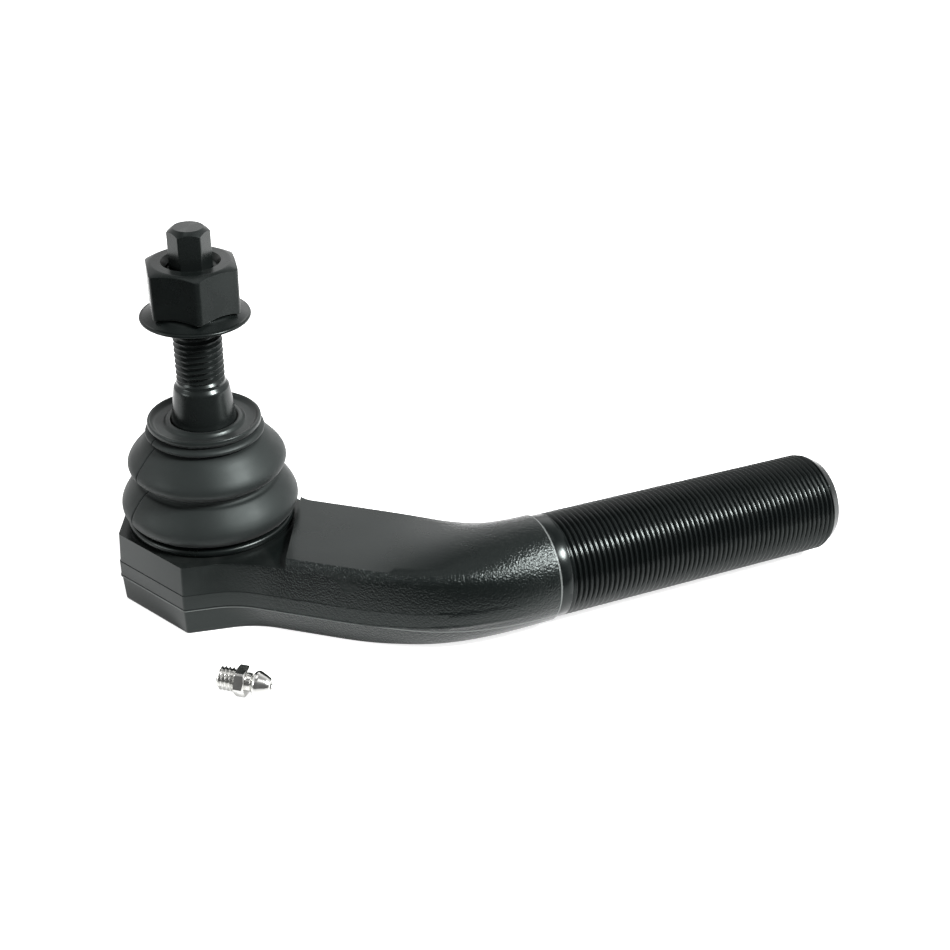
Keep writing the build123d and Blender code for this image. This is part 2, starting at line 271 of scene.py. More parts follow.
crown_start = arm_top - 3.1             # where the arm's top edge begins to round over
levels = [0.0, 0.08, 0.25, 0.5, 0.9, 1.4, 2.0, 2.6, *spaced(3.4, flash_low - 0.2, 3),
          flash_low - 0.06, flash_low, flash_low + 0.44, flash_low + 0.56,
          *spaced(flash_low + 1.2, flash_high - 0.2, 3), flash_high, flash_high + 0.12,
          *spaced(flash_high + 1.0, crown_start, 5), *spaced(crown_start + 0.05, arm_top, 9), arm_top]


def rounded(before, corner, after, radius, steps):
    """Points on an arc of that radius, tangent to the two lines that meet at a corner."""
    to_start, to_stop = (before - corner).normalized(), (after - corner).normalized()
    half = to_start.angle(to_stop) / 2
    centre = corner + (to_start + to_stop).normalized() * radius / sin(half)
    start = corner + to_start * radius / tan(half)
    stop = corner + to_stop * radius / tan(half)
    first = start - centre
    sweep_angle = first.angle_signed(stop - centre)
    return [centre + Matrix.Rotation(-sweep_angle * i / steps, 2) @ first for i in range(steps + 1)]


def head_and_arm(h):
    """The plan outline at a height, from the arm's back side round the head to its front side."""
    back = line(arm_angle + 90.0, arm_back - arm_inset(h))
    front = line(arm_angle - 90.0, arm_front - arm_inset(h))
    flats = [line(a, d - head_inset(h)) for a, d in head_flats]
    cut = line(arm_angle, bend_start)
    corners = [crossing(cut, back), crossing(back, flats[0])]
    corners += [crossing(a, b) for a, b in zip(flats, flats[1:])]
    corners += [crossing(flats[-1], front), crossing(front, cut)]
    radii = [back_radius] + [head_corner] * (len(flats) - 1) + [waist_radius]
    points = []
    for i, radius in enumerate(radii, 1):
        points += rounded(corners[i - 1], corners[i], corners[i + 1], radius, 14 if radius > 2 else 5)
    start, stop = corners[0], corners[-1]
    run_back = [start.lerp(points[0], t) for t in spaced(0, 1, 12)]
    run_front = [stop.lerp(points[-1], t) for t in spaced(0, 1, 16)]
    return run_back + points + run_front[::-1]


def bend_line(q):
    """Where the arm's middle line is, and which way it runs, from 0 at the bend to 1 at the shoulder."""
    offset = (arm_front - arm_back) / 2
    ahead = Vector((cos(radians(arm_angle)), sin(radians(arm_angle))))
    aside = Vector((sin(radians(arm_angle)), -cos(radians(arm_angle))))
    start = ahead * bend_start + aside * offset
    reach = (shank_y - start.y) / ahead.y
    corner = start + ahead * reach
    tangent = min(reach, 0.98 * (shoulder_x - corner.x)) * 0.92
    radius = tangent / tan(radians(-arm_angle) / 2)
    straight_in = reach - tangent
    arc = radius * radians(-arm_angle)
    straight_out = shoulder_x - corner.x - tangent
    along = q * (straight_in + arc + straight_out)
    if along <= straight_in:
        return start + ahead * along, arm_angle
    if along >= straight_in + arc:
        return Vector((corner.x + tangent + along - straight_in - arc, shank_y)), 0.0
    turn = (along - straight_in) / radius
    begin = start + ahead * straight_in
    centre = begin - aside * radius
    return centre + Matrix.Rotation(turn, 2) @ (begin - centre), arm_angle + degrees(turn)


def smooth(low, high, value):
    t = min(1.0, max(0.0, (value - low) / (high - low)))
    return t * t * (3 - 2 * t)


def bend_section(q):
    """One closed loop of the bend: drafted like the arm at 0, swelling to the round shoulder at 1."""
    half = (arm_front + arm_back) / 2
    face = [(half - arm_inset(h), h) for h in levels]
    across = 11
    top_half, base_half = face[-1][0], face[0][0]
    over = [(top_half * (1 - 2 * i / across), arm_top) for i in range(1, across)]
    under = [(-base_half * (1 - 2 * i / across), 0.0) for i in range(1, across)]
    loop = face + over + [(-s, h) for s, h in reversed(face)] + under
    size = len(loop)
    lengths = [(Vector(loop[(i + 1) % size]) - Vector(loop[i])).length for i in range(size)]
    total = sum(lengths)
    begin = -90.0 + 180.0 * base_half / (total / 2)
    place, way = bend_line(q)
    aside = Vector((sin(radians(way)), -cos(radians(way))))
    blend = smooth(0.16, 1.0, q) ** 1.3
    points, gone = [], 0.0
    for i, (s, h) in enumerate(loop):
        angle = radians(begin + 360.0 * gone / total)
        gone += lengths[i]
        round_s = shoulder_radius * cos(angle)
        round_h = shank_height + shoulder_radius * sin(angle)
        s, h = s + (round_s - s) * blend, h + (round_h - h) * blend
        flat_place = place + aside * s
        points.append(Vector((flat_place.x, flat_place.y, h)))
    return points


def strip(mesh, rows, closed):
    """Quads between rows of vertices."""
    for low, high in zip(rows, rows[1:]):
        count = len(low)
        for i in range(count if closed else count - 1):
            j = (i + 1) % count
            corners = list(dict.fromkeys((low[i], low[j], high[j], high[i])))
            if len(corners) > 2:
                mesh.faces.new(corners)


def finished(name, mesh, material, body, place=UPRIGHT, sharp=32.0, weld=0.002):
    """A mesh in mm becomes a piece: welded, put in its place, smoothed up to an angle, and riding."""
    bmesh.ops.remove_doubles(mesh, verts=mesh.verts, dist=weld)
    bmesh.ops.dissolve_degenerate(mesh, dist=weld / 4, edges=mesh.edges)
    bmesh.ops.recalc_face_normals(mesh, faces=mesh.faces)
    mesh.transform(place)
    data = bpy.data.meshes.new(name)
    mesh.to_mesh(data)
    mesh.free()
    data.shade_smooth()
    data.set_sharp_from_angle(angle=radians(sharp))
    piece = bpy.data.objects.new(name, data)
    scene.collection.objects.link(piece)
    if material:
        data.materials.append(material)
    if body:
        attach(piece, body)
    return piece


def new_mesh(points, mesh):
    return [mesh.verts.new(p) for p in points]


def forging_blank():
    mesh = bmesh.new()
    wall = [new_mesh([(p.x, p.y, h) for p in head_and_arm(h)], mesh) for h in levels]
    strip(mesh, wall, False)
    steps = 46
    loops = [new_mesh(bend_section(i / steps), mesh) for i in range(steps + 1)]
    strip(mesh, loops, True)
    count = len(levels)
    across = (len(loops[0]) - 2 * count) // 2
    top_line = loops[0][count:count + across]
    base_line = loops[0][2 * count + across:]
    mesh.faces.new(wall[-1] + top_line)
    mesh.faces.new((wall[0] + base_line[::-1])[::-1])
    shrunk = 0.962
    rim = [Vector((shoulder_x + 0.5, shank_y + (v.co.y - shank_y) * shrunk,
                   shank_height + (v.co.z - shank_height) * shrunk)) for v in loops[-1]]
    rim = new_mesh(rim, mesh)
    strip(mesh, [loops[-1], rim], True)
    mesh.faces.new(rim)
    return mesh


def circle(mesh, r, h, segments, start):
    turns = [start + 2 * pi * i / segments for i in range(segments)]
    return new_mesh([(r * cos(a), r * sin(a), h) for a in turns], mesh)


def revolved(mesh, profile, segments=128, start=0.0):
    """Rings about the upright axis through (radius, height) points."""
    rows = []
    for r, h in profile:
        if r < 1e-6:
            rows.append([mesh.verts.new((0, 0, h))] * segments)
        else:
            rows.append(circle(mesh, r, h, segments, start))
    strip(mesh, rows, True)


def eased(points, radius, steps=3):
    """The same profile with its corners rounded."""
    softened = [Vector(points[0])]
    for before, corner, after in zip(points, points[1:], points[2:]):
        before, corner, after = Vector(before), Vector(corner), Vector(after)
        reach = min(radius, 0.45 * (before - corner).length, 0.45 * (after - corner).length)
        start = corner + (before - corner).normalized() * reach
        stop = corner + (after - corner).normalized() * reach
        for i in range(steps + 1):
            t = i / steps
            softened.append(start.lerp(corner, t).lerp(corner.lerp(stop, t), t))
    softened.append(Vector(points[-1]))
    return [tuple(p) for p in softened]


def cut_away(piece, tool):
    """Machines the tool's shape out of a piece."""
    cutter = piece.modifiers.new("cut", "BOOLEAN")
    cutter.operation = "DIFFERENCE"
    cutter.solver = "EXACT"
    cutter.object = tool
    bpy.context.view_layer.update()
    shaped = bpy.data.meshes.new_from_object(piece.evaluated_get(bpy.context.evaluated_depsgraph_get()))
    piece.modifiers.clear()
    piece.data = shaped
    bpy.data.objects.remove(tool)


def milling_block():
    """The box above the head's milled face, as far as its straight step."""
    size = 90.0
    mesh = bmesh.new()
    bmesh.ops.create_cube(mesh, size=size)
    mesh.transform(Matrix.Rotation(radians(step_angle), 4, "Z")
                   @ Matrix.Translation((step_distance - size / 2, 0, head_top + size / 2)))
    return finished("milling_block", mesh, None, None)


def boring_tool():
    """What is bored from below: the bearings' bore, the cover's recess and the snap ring's groove."""
    bearing_bore, cover_recess, ring_groove = 13.0, 15.2, 16.2
    mesh = bmesh.new()
    revolved(mesh, [(0, -1), (cover_recess, -1), (cover_recess, 0.5), (ring_groove, 0.5),
                    (ring_groove, 1.5), (cover_recess, 1.5), (cover_recess, 3.7), (bearing_bore, 3.7),
                    (bearing_bore, 30), (0, 30)])
    return finished("boring_tool", mesh, None, None)


def shader_group(name, inputs, output, kind):
    """An empty shared effect: its tree, and where its inputs come in and its output goes."""
    tree = bpy.data.node_groups.new(name, "ShaderNodeTree")
    for label, sort in inputs.items():
        tree.interface.new_socket(label, in_out="INPUT", socket_type="NodeSocket" + sort)
    tree.interface.new_socket(output, in_out="OUTPUT", socket_type="NodeSocket" + kind)
    return tree, node(tree, "NodeGroupInput").outputs, node(tree, "NodeGroupOutput").inputs[output]


def cast_grain():
    """Shared effect: the pimpled skin of a forging, as a height."""
    tree, given, result = shader_group("cast_grain", {"Vector": "Vector", "Size": "Float"}, "Height", "Float")
    fine = noisy(tree, given["Vector"], given["Size"], 3.0, Roughness=0.6)
    pimples = node(tree, "ShaderNodeTexVoronoi", {"Vector": given["Vector"], "Scale": given["Size"]},
                   feature="SMOOTH_F1")
    tree.links.new(maths(tree, "SUBTRACT", fine, pimples.outputs["Distance"]), result)
    return tree


def uneven():
    """Shared effect: a value that wanders slowly between two others, as gloss does over a coat."""
    inputs = {"Vector": "Vector", "Size": "Float", "Low": "Float", "High": "Float"}
    tree, given, result = shader_group("uneven", inputs, "Value", "Float")
    cloud = noisy(tree, given["Vector"], given["Size"], 4.0)
    tree.links.new(spread(tree, cloud, 0.3, 0.7, given["Low"], given["High"]), result)
    return tree


def worn_and_highlit_edges():
    """Shared effect: a coat rubbed thin on its edges, with a painted highlight there, as a colour."""
    inputs = {"Vector": "Vector", "Coat": "Color", "Worn_lit_edge": "Color", "Amount": "Float"}
    tree, given, result = shader_group("worn_and_highlit_edges", inputs, "Color", "Color")
    shape = node(tree, "ShaderNodeNewGeometry")
    # Sharp edges are lighter: partly real wear, partly painted highlight.
    edge = spread(tree, shape.outputs["Pointiness"], 0.53, 0.62)
    worn_and_lit = maths(tree, "MULTIPLY", edge, noisy(tree, given["Vector"], 420.0, 3.0))
    amount = maths(tree, "MULTIPLY", worn_and_lit, given["Amount"], clamp=True)
    tree.links.new(mixed(tree, amount, given["Coat"], given["Worn_lit_edge"]), result)
    return tree


grain_group, uneven_group, edge_wear_highlight_group = cast_grain(), uneven(), worn_and_highlit_edges()


def material(name, **sockets):
    """A material with a plain shader whose own sockets are set by name."""
    made = bpy.data.materials.new(name)
    made.use_nodes = True
    shader = made.node_tree.nodes["Principled BSDF"]
    for key, value in sockets.items():
        shader.inputs[key.replace("_", " ")].default_value = value
    return made, made.node_tree, shader


def placed(tree):
    """The piece's own coordinates, which move with it."""
    return node(tree, "ShaderNodeTexCoord").outputs["Object"]


def wandering(tree, size, low, high):
    made = node(tree, "ShaderNodeGroup", node_tree=uneven_group)
    tree.links.new(placed(tree), made.inputs["Vector"])
    for key, value in (("Size", size), ("Low", low), ("High", high)):
        made.inputs[key].default_value = value
    return made.outputs["Value"]


def coat_colour(tree, coat, worn_lit_edge, amount):
    made = node(tree, "ShaderNodeGroup", node_tree=edge_wear_highlight_group)
    tree.links.new(placed(tree), made.inputs["Vector"])
    made.inputs["Coat"].default_value = coat
    made.inputs["Worn_lit_edge"].default_value = worn_lit_edge
    made.inputs["Amount"].default_value = amount
    return made.outputs["Color"]


def bumped(tree, shader, strength, distance, height):
    """Gives a material's surface a relief."""
    relief = node(tree, "ShaderNodeBump", {"Strength": strength, "Distance": distance, "Height": height})
    tree.links.new(relief.outputs[0], shader.inputs["Normal"])


black = (0.0030, 0.0042, 0.0040, 1)
cool = (0.90, 1.0, 0.975, 1)             # the tint of every black finish's gloss
bare_lit_steel = (0.30, 0.30, 0.29, 1)
worn_lit_black = (0.05, 0.052, 0.05, 1)      # where a black coat is rubbed thin on its edges, with a painted edge highlight
painted_edge_highlight = (0.120, 0.130, 0.127, 1)     # painted highlight along the flash band's edge and the shoulder's rim
grain_size, grain_depth = 2100.0, 0.00010
peel_size, peel_share = 2600.0, 0.06
flash_highlight_reach, rim_highlight_reach = 0.00020, 0.00030


def forging_coat():
    """Black coat over a forged skin: pimpled on the arm and shoulder, smooth on the flats, its edges rubbed
    thin with a painted highlight there, and a painted highlight along the flash band's lower edge and the
    shoulder's rim."""
    made, tree, shader = material("forging_coat", Specular_IOR_Level=0.27, Specular_Tint=cool)
    where = placed(tree)
    spot = node(tree, "ShaderNodeSeparateXYZ", {0: where})
    shape = node(tree, "ShaderNodeNewGeometry")
    rise = node(tree, "ShaderNodeSeparateXYZ", {0: shape.outputs["Normal"]}).outputs["Z"]

    # Smooth on the head, and pimpled past the milled step except on the arm's flat top.
    ahead = (cos(radians(step_angle)), sin(radians(step_angle)), 0)
    along = node(tree, "ShaderNodeVectorMath", {0: where, 1: ahead}, operation="DOT_PRODUCT")
    on_arm = spread(tree, along.outputs["Value"], 0.0, 0.030, curve="SMOOTHSTEP")
    on_shoulder = spread(tree, spot.outputs["X"], 0.040, 0.062, curve="SMOOTHSTEP")
    not_flat = maths(tree, "MAXIMUM", spread(tree, rise, 0.93, 0.995, 1.0, 0.06), on_shoulder)

    # Heaviest along the arm's rounded upper edge, and less towards the shoulder.
    leaning, near_flat = spread(tree, rise, 0.12, 0.35, 0.0, 2.2), spread(tree, rise, 0.80, 0.95, 1.0, 0.0)
    crown = maths(tree, "MULTIPLY", leaning, near_flat)
    fading = spread(tree, spot.outputs["X"], 0.012, 0.048, 1.0, 0.0)
    heavy = maths(tree, "MULTIPLY", maths(tree, "MULTIPLY_ADD", crown, fading, not_flat), on_arm)
    skin = node(tree, "ShaderNodeGroup", {}, node_tree=grain_group)
    tree.links.new(where, skin.inputs["Vector"])
    skin.inputs["Size"].default_value = grain_size
    grained = maths(tree, "MULTIPLY", skin.outputs["Height"], heavy)
    peel = noisy(tree, where, peel_size, 2.0)
    bumped(tree, shader, 1.0, grain_depth, maths(tree, "MULTIPLY_ADD", peel, peel_share, grained))

    # Painted highlight: a lighter line of coat along the flash band's lower edge and the shoulder's rim.
    flash_highlight = maths(tree, "COMPARE", spot.outputs["Z"], flash_low * MM + floor_z, flash_highlight_reach)
    rim_highlight = maths(tree, "COMPARE", spot.outputs["X"], shoulder_x * MM, rim_highlight_reach)
    highlight_share = maths(tree, "MULTIPLY", maths(tree, "MAXIMUM", flash_highlight, rim_highlight), 0.75)
    coat = mixed(tree, highlight_share, coat_colour(tree, black, worn_lit_black, 0.5), painted_edge_highlight)
    tree.links.new(coat, shader.inputs["Base Color"])
    tree.links.new(wandering(tree, 60.0, 0.21, 0.29), shader.inputs["Roughness"])
    return made


forging_paint = forging_coat()
forging = finished("forging", forging_blank(), forging_paint, None)
cut_away(forging, milling_block())
cut_away(forging, boring_tool())
forging.data.shade_smooth()
forging.data.set_sharp_from_angle(angle=radians(32))
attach(forging, "housing")
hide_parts("forged_body")

# The neck that carries the boot is turned on the same forging, with the mouth for the stud.

mesh = bmesh.new()
neck = [(12.9, 18.0), (12.9, 24.2), (11.55, 24.2), (12.2, 25.3), (17.1, 25.3), (17.7, 24.7), (17.7, 20.0),
        (17.7, 18.0), (12.9, 18.0)]
revolved(mesh, eased(neck, 0.25))
finished("socket_neck", mesh, forging_paint, "housing")

# ================================================================ threaded shank
# The shank is turned and thread-rolled on the forging: a short smooth collar, some fifty
# turns of a fine 27 mm thread, and a chamfered end with the lathe's centre hole.

pitch = 1.5
thread_depth = 0.92
THREAD_FORM = ((0.00, 0.07), (0.03, 0.0), (0.095, 0.0), (0.125, 0.07), (0.39, 0.92), (0.45, 1.0),
               (0.675, 1.0), (0.735, 0.92))     # share of the pitch, share of the depth


def threaded(mesh, major, depth, rise, low, high, reach, segments=128, start=0.0):
    """A right-hand helical thread from low to high. reach(h) gives its depth, 0 to 1, and its limit."""
    size = len(THREAD_FORM)
    first, last = int(low / rise) - 2, int(high / rise) + 2
    grid = []
    for turn in range(first, last):
        for share, down in THREAD_FORM:
            row = []
            for j in range(segments):
                angle = start + 2 * pi * j / segments
                h = (turn + share + angle / (2 * pi)) * rise
                h = min(high, max(low, h))
                part, limit = reach(h)
                r = min(limit, major - depth * down * part)
                row.append(mesh.verts.new((r * cos(angle), r * sin(angle), h)))
            grid.append(row)
    for m in range(len(grid) - size - 1):
        for j in range(segments):
            if j + 1 < segments:
                a, b = grid[m][j + 1], grid[m + 1][j + 1]
            else:
                a, b = grid[m + size][0], grid[m + 1 + size][0]
            corners = (grid[m][j], a, b, grid[m + 1][j])
            if max(v.co.z for v in corners) - min(v.co.z for v in corners) > 1e-6:
                mesh.faces.new(corners)


def steel(name, colour, rough, metallic, amount, worn_lit_edge=bare_lit_steel, specular=0.5, grain=0.0):
    """Machined steel, bare or under a thin black finish, with fine turning marks in its gloss, and edges
    lighter from wear and a painted highlight.
    """
    made, tree, shader = material(name, Metallic=metallic, Specular_IOR_Level=specular, Specular_Tint=cool)
    tree.links.new(coat_colour(tree, colour, worn_lit_edge, amount), shader.inputs["Base Color"])
    tree.links.new(wandering(tree, 150.0, rough * 0.85, rough * 1.2), shader.inputs["Roughness"])
    bumped(tree, shader, 0.3, 0.00002 + grain, noisy(tree, placed(tree), 900.0, 4.0))
    return made


shank_black, worn_lit_shank = (0.003, 0.004, 0.004, 1), (0.03, 0.032, 0.031, 1)
shank_finish = steel("shank_finish", shank_black, 0.22, 0.0, 0.5, worn_lit_shank, specular=0.22)
shank_length = 87.0
shank_chamfer, chamfer_slope = 3.0, 0.52
thread_from = 3.3


def shank_reach(h):
    end = shank_length - shank_chamfer
    fade = smooth(thread_from, thread_from + 1.0, h) * smooth(end + 0.7, end, h)
    return fade, shank_radius - chamfer_slope * max(0.0, h - end)


mesh = bmesh.new()
revolved(mesh, [(0, -0.6), (13.3, -0.6), (shank_radius, -0.1), (shank_radius, 2.0),
                (shank_radius, thread_from)], 160)
threaded(mesh, shank_radius, thread_depth, pitch, thread_from, shank_length, shank_reach, 160)
end_face = shank_radius - chamfer_slope * shank_chamfer
revolved(mesh, [(end_face, shank_length), (4.6, shank_length), (2.1, shank_length - 2.4),
                (2.1, shank_length - 5.0), (0, shank_length - 6.0)], 160)
along_x = UPRIGHT @ Matrix.Translation((shoulder_x, shank_y, shank_height)) @ Matrix.Rotation(pi / 2, 4, "Y")
finished("shank_thread", mesh, shank_finish, "housing", along_x, sharp=50)

# ================================================================ ball stud
# One turned steel stud with a black finish: ball and neck inside the socket, a collar that
# carries the boot's ring, a short taper, a 12 mm thread, and a hex tip for a holding key.

stud_black = (0.0050, 0.0062, 0.0060, 1)
stud_finish = steel("stud_finish", stud_black, 0.24, 0.0, 0.6, worn_lit_black, specular=0.30)
ball_radius = 10.5
ball_height = -floor_z / MM
stud_thread = 6.0
thread_low, thread_high = 60.0, 88.8
tip_flats, tip_top, tip_turn = 9.0, 99.7, radians(-13)


def hexed(mesh, flats, low, high, low_ease, high_ease, turn, inner, segments=144, clip=0.985):
    """A hexagon from low to high, its ends coned off beyond a radius at a slope and closed in to inner."""
    corner = flats / sqrt(3) * clip
    soft, flat = 0.14, 0.40
    rows = []

    def disc(*profile):
        rows.extend(circle(mesh, r, h, segments, turn) for r, h in profile)

    def row(h, sign, ease, inwards, drop):
        made = []
        for i in range(segments):
            angle = turn + 2 * pi * i / segments
            away = (angle - turn) % (pi / 3) - pi / 6
            edge = min(flats / 2 / cos(away), corner)
            r = edge - inwards
            level = h - sign * (max(0.0, edge - ease[0]) * ease[1] + drop)
            made.append(mesh.verts.new((r * cos(angle), r * sin(angle), level)))
        rows.append(made)

    low_disc, high_disc = min(low_ease[0], flats / 2), min(high_ease[0], flats / 2)
    disc((inner[0], low), (low_disc - soft, low))
    row(low, -1, low_ease, soft, 0)
    row(low, -1, low_ease, 0, soft)
    row(low, -1, low_ease, 0, flat)
    row(high, 1, high_ease, 0, flat)
    row(high, 1, high_ease, 0, soft)
    row(high, 1, high_ease, soft, 0)
    disc((high_disc - soft, high), (high_disc - flat, high), (inner[1], high))
    strip(mesh, rows, True)


def stud_reach(h):
    fade = smooth(thread_low - 0.2, thread_low + 1.4, h)
    end = thread_high - 0.9
    return fade, stud_thread if h < end else stud_thread - (h - end)


neck_radius = 5.8
neck_angle = acos(neck_radius / ball_radius)
ball = [(ball_radius * cos(a), ball_height + ball_radius * sin(a))
        for a in (-pi / 2 + (pi / 2 + neck_angle) * i / 40 for i in range(41))]
shaft = eased([ball[-1], (neck_radius, 29.0), (neck_radius, 36.0), (8.1, 43.2), (8.15, 48.6), (8.15, 49.3),
               (7.95, 50.1), (7.02, 57.4), (6.85, 58.3), (6.0, 59.3), (stud_thread, thread_low)], 0.35, 4)
mesh = bmesh.new()
revolved(mesh, ball[:-1] + shaft, 144, tip_turn)
threaded(mesh, stud_thread, thread_depth, pitch, thread_low, thread_high, stud_reach, 144, tip_turn)
revolved(mesh, [(stud_thread - 0.9, thread_high), (3.0, thread_high)], 144, tip_turn)
hexed(mesh, tip_flats, thread_high - 0.6, tip_top, (9, 0), (3.75, 0.80), tip_turn, (2.0, 0.01))
finished("stud", mesh, stud_finish, "stud", sharp=38)
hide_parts("ball_stud")

# ================================================================ nut and washer
# A hex nut coned off at both ends, with a deep lead-in for the thread. Its spigot is rolled
# over inside a coned washer that turns freely on it. Both have a satin black finish.

nut_black, worn_lit_nut = (0.0035, 0.0046, 0.0044, 1), (0.06, 0.062, 0.059, 1)
nut_finish = steel("nut_finish", nut_black, 0.26, 0.0, 0.3, worn_lit_nut, specular=0.22)
nut_z, nut_top, nut_flats, nut_turn = 79.7, 91.3, 20.8, radians(21)
washer_z, washer_radius = 76.9, 13.4
thread_clearance = 0.07
hex_base = nut_z + 0.3
spigot_radius, mouth_radius = 8.4, 7.1


def nut_reach(h):
    return 1.0, nut_flats                # full depth all the way, and nothing to stay inside of


mesh = bmesh.new()
hexed(mesh, nut_flats, hex_base, nut_top, (10.4, -0.55), (9.7, 0.46), nut_turn, (spigot_radius, mouth_radius))
top_cone = nut_top - 1.55
base_cone = washer_z + 1.3
thread_mouth = stud_thread + thread_clearance
revolved(mesh, [(mouth_radius, nut_top), (thread_mouth, top_cone)], 144, nut_turn)
threaded(mesh, thread_mouth, thread_depth * 0.96, pitch, base_cone, top_cone, nut_reach, 144, nut_turn)
revolved(mesh, [(thread_mouth, base_cone), (6.9, washer_z + 0.55), (8.1, washer_z + 0.55),
                (spigot_radius, washer_z + 0.85), (spigot_radius, hex_base)], 144, nut_turn)
finished("nut", mesh, nut_finish, "nut", sharp=30)
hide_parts("hex_nut")

mesh = bmesh.new()
washer = [(8.5, washer_z + 0.6), (9.4, washer_z), (13.1, washer_z), (washer_radius, washer_z + 0.25),
          (washer_radius, washer_z + 0.7), (13.1, washer_z + 0.95), (12.7, washer_z + 0.95),
          (10.5, nut_z - 0.75), (9.9, nut_z - 0.2), (8.5, nut_z - 0.08), (8.5, washer_z + 0.6)]
revolved(mesh, eased(washer, 0.3), 160)
finished("captive_washer", mesh, nut_finish, "washer", sharp=50)
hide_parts("nut_washer")

# ================================================================ dust boot
# Two bellows of moulded rubber between the socket's neck and the stud's ring, with the
# mould's parting line down both sides.

boot_wall = 1.5
waist_height = 33.2                     # where the two bellows meet
seam_angles = (radians(14), radians(194))
seam_depth, seam_width = 0.30, 0.9      # mm, and degrees to each side


def flowing(points, steps=7):
    """A smooth curve through points, as a list of points."""
    run_in = [Vector(p) for p in points]
    run_in = [run_in[0] * 2 - run_in[1], *run_in, run_in[-1] * 2 - run_in[-2]]
    made = []
    for a, b, c, d in zip(run_in, run_in[1:], run_in[2:], run_in[3:]):
        for i in range(steps):
            t = i / steps
            made.append(0.5 * (2 * b + (c - a) * t + (2 * a - 5 * b + 4 * c - d) * t**2
                               + (3 * b - a - 3 * c + d) * t**3))
    made.append(Vector(points[-1]))
    return made


def inner_side(outer):
    """The inside of the wall: the outer curve moved in by the wall's thickness."""
    made = []
    for i, point in enumerate(outer):
        before, after = outer[max(0, i - 1)], outer[min(len(outer) - 1, i + 1)]
        way = (after - before).normalized()
        made.append(point + Vector((-way.y, way.x)) * boot_wall)
    return made


def boot_rows(mesh, loop):
    """Rings round the boot, with extra steps at the parting lines, and soft unevenness."""
    count = 180
    turns = [2 * pi * i / count for i in range(count)]
    for seam in seam_angles:
        turns += [(seam + radians(d)) % (2 * pi) for d in (-1.1, -0.7, -0.35, 0.35, 0.7, 1.1)]
    turns = sorted(set(round(t, 6) for t in turns))
    rows = []
    for r, h in loop:
        row = []
        for a in turns:
            off = min(abs((a - s + pi) % (2 * pi) - pi) for s in seam_angles)
            groove = -seam_depth * max(0.0, 1 - degrees(off) / seam_width)
            soft = 0.06 * noise.noise(Vector((cos(a) * 2.2, sin(a) * 2.2, h * 0.12)))
            rr = r + groove + soft
            row.append(mesh.verts.new((rr * cos(a), rr * sin(a), h)))
        rows.append(row)
    rows.append(rows[0])
    strip(mesh, rows, True)


def rubber(name, colour, rough, grain):
    """Satin moulded rubber with a faint bloom and a fine moulded grain."""
    made, tree, shader = material(name, Specular_IOR_Level=0.25, Specular_Tint=cool, Sheen_Weight=0.04,
                                  Sheen_Roughness=0.5)
    bloom = tuple(c * 1.7 for c in colour[:3]) + (1,)
    dusted = mixed(tree, noisy(tree, placed(tree), 90.0, 5.0), colour, bloom)
    tree.links.new(dusted, shader.inputs["Base Color"])
    tree.links.new(wandering(tree, 120.0, rough - 0.05, rough + 0.06), shader.inputs["Roughness"])
    bumped(tree, shader, 0.25, grain, noisy(tree, placed(tree), 2400.0, 3.0))
    return made


boot_rubber = rubber("boot_rubber", (0.0065, 0.0080, 0.0078, 1), 0.50, 0.00006)
lower_bellow = flowing([(19.7, 20.5), (19.7, 21.6), (19.75, 22.5), (20.6, 23.0), (21.7, 23.8), (22.4, 24.9),
                        (22.62, 26.0), (22.45, 27.2), (21.7, 28.7), (20.6, 30.2), (19.4, 31.5), (18.4, 32.4),
                        (17.6, 32.75), (17.0, waist_height)])
upper_bellow = flowing([(17.0, waist_height), (17.0, 33.9), (17.6, 34.6), (18.7, 35.3), (19.6, 36.2),
                        (20.05, 37.2), (20.0, 38.2), (19.4, 39.4), (18.3, 40.8), (17.0, 42.2), (15.7, 43.5),
                        (14.5, 44.4), (13.5, 44.75), (13.3, 45.05), (14.1, 45.3), (14.85, 45.8),
                        (14.9, 46.35), (14.4, 46.85), (13.7, 47.1)])
mesh = bmesh.new()
foot = [Vector((17.75, 22.4)), Vector((17.75, 20.5))]
inside = [p for p in inner_side(lower_bellow) if p.y > 22.6]
boot_rows(mesh, lower_bellow + inside[::-1] + foot)
boot_lower = finished("boot_lower_bellow", mesh, boot_rubber, None, sharp=40)
mesh = bmesh.new()
bead = [Vector((10.0, 47.1)), Vector((10.0, 45.6))]
inside = [p for p in inner_side(upper_bellow) if p.y < 44.0]
boot_rows(mesh, upper_bellow + bead + inside[::-1])
boot_upper = finished("boot_upper_bellow", mesh, boot_rubber, None, sharp=40)


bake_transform(boot_lower)
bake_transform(boot_upper)
for half in (boot_lower, boot_upper):
    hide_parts("dust_boot")

# The foot is held in its groove by a round-edged steel ring, black like the forging.

clamp_finish = steel("clamp_finish", black, 0.30, 0.0, 0.4, (0.05, 0.05, 0.05, 1), specular=0.28)
mesh = bmesh.new()
ring = [(19.75, 21.4), (19.75, 22.3), (21.1, 22.3), (21.5, 21.8), (21.5, 21.0), (21.1, 20.6), (19.75, 20.6),
        (19.75, 21.4)]
revolved(mesh, eased(ring, 0.4, 5), 160)
finished("clamp_ring", mesh, clamp_finish, "housing", sharp=45)
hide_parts("boot_clamp_ring")

# The dished ring at the top is rubber moulded over steel. It seals on the stud's collar.

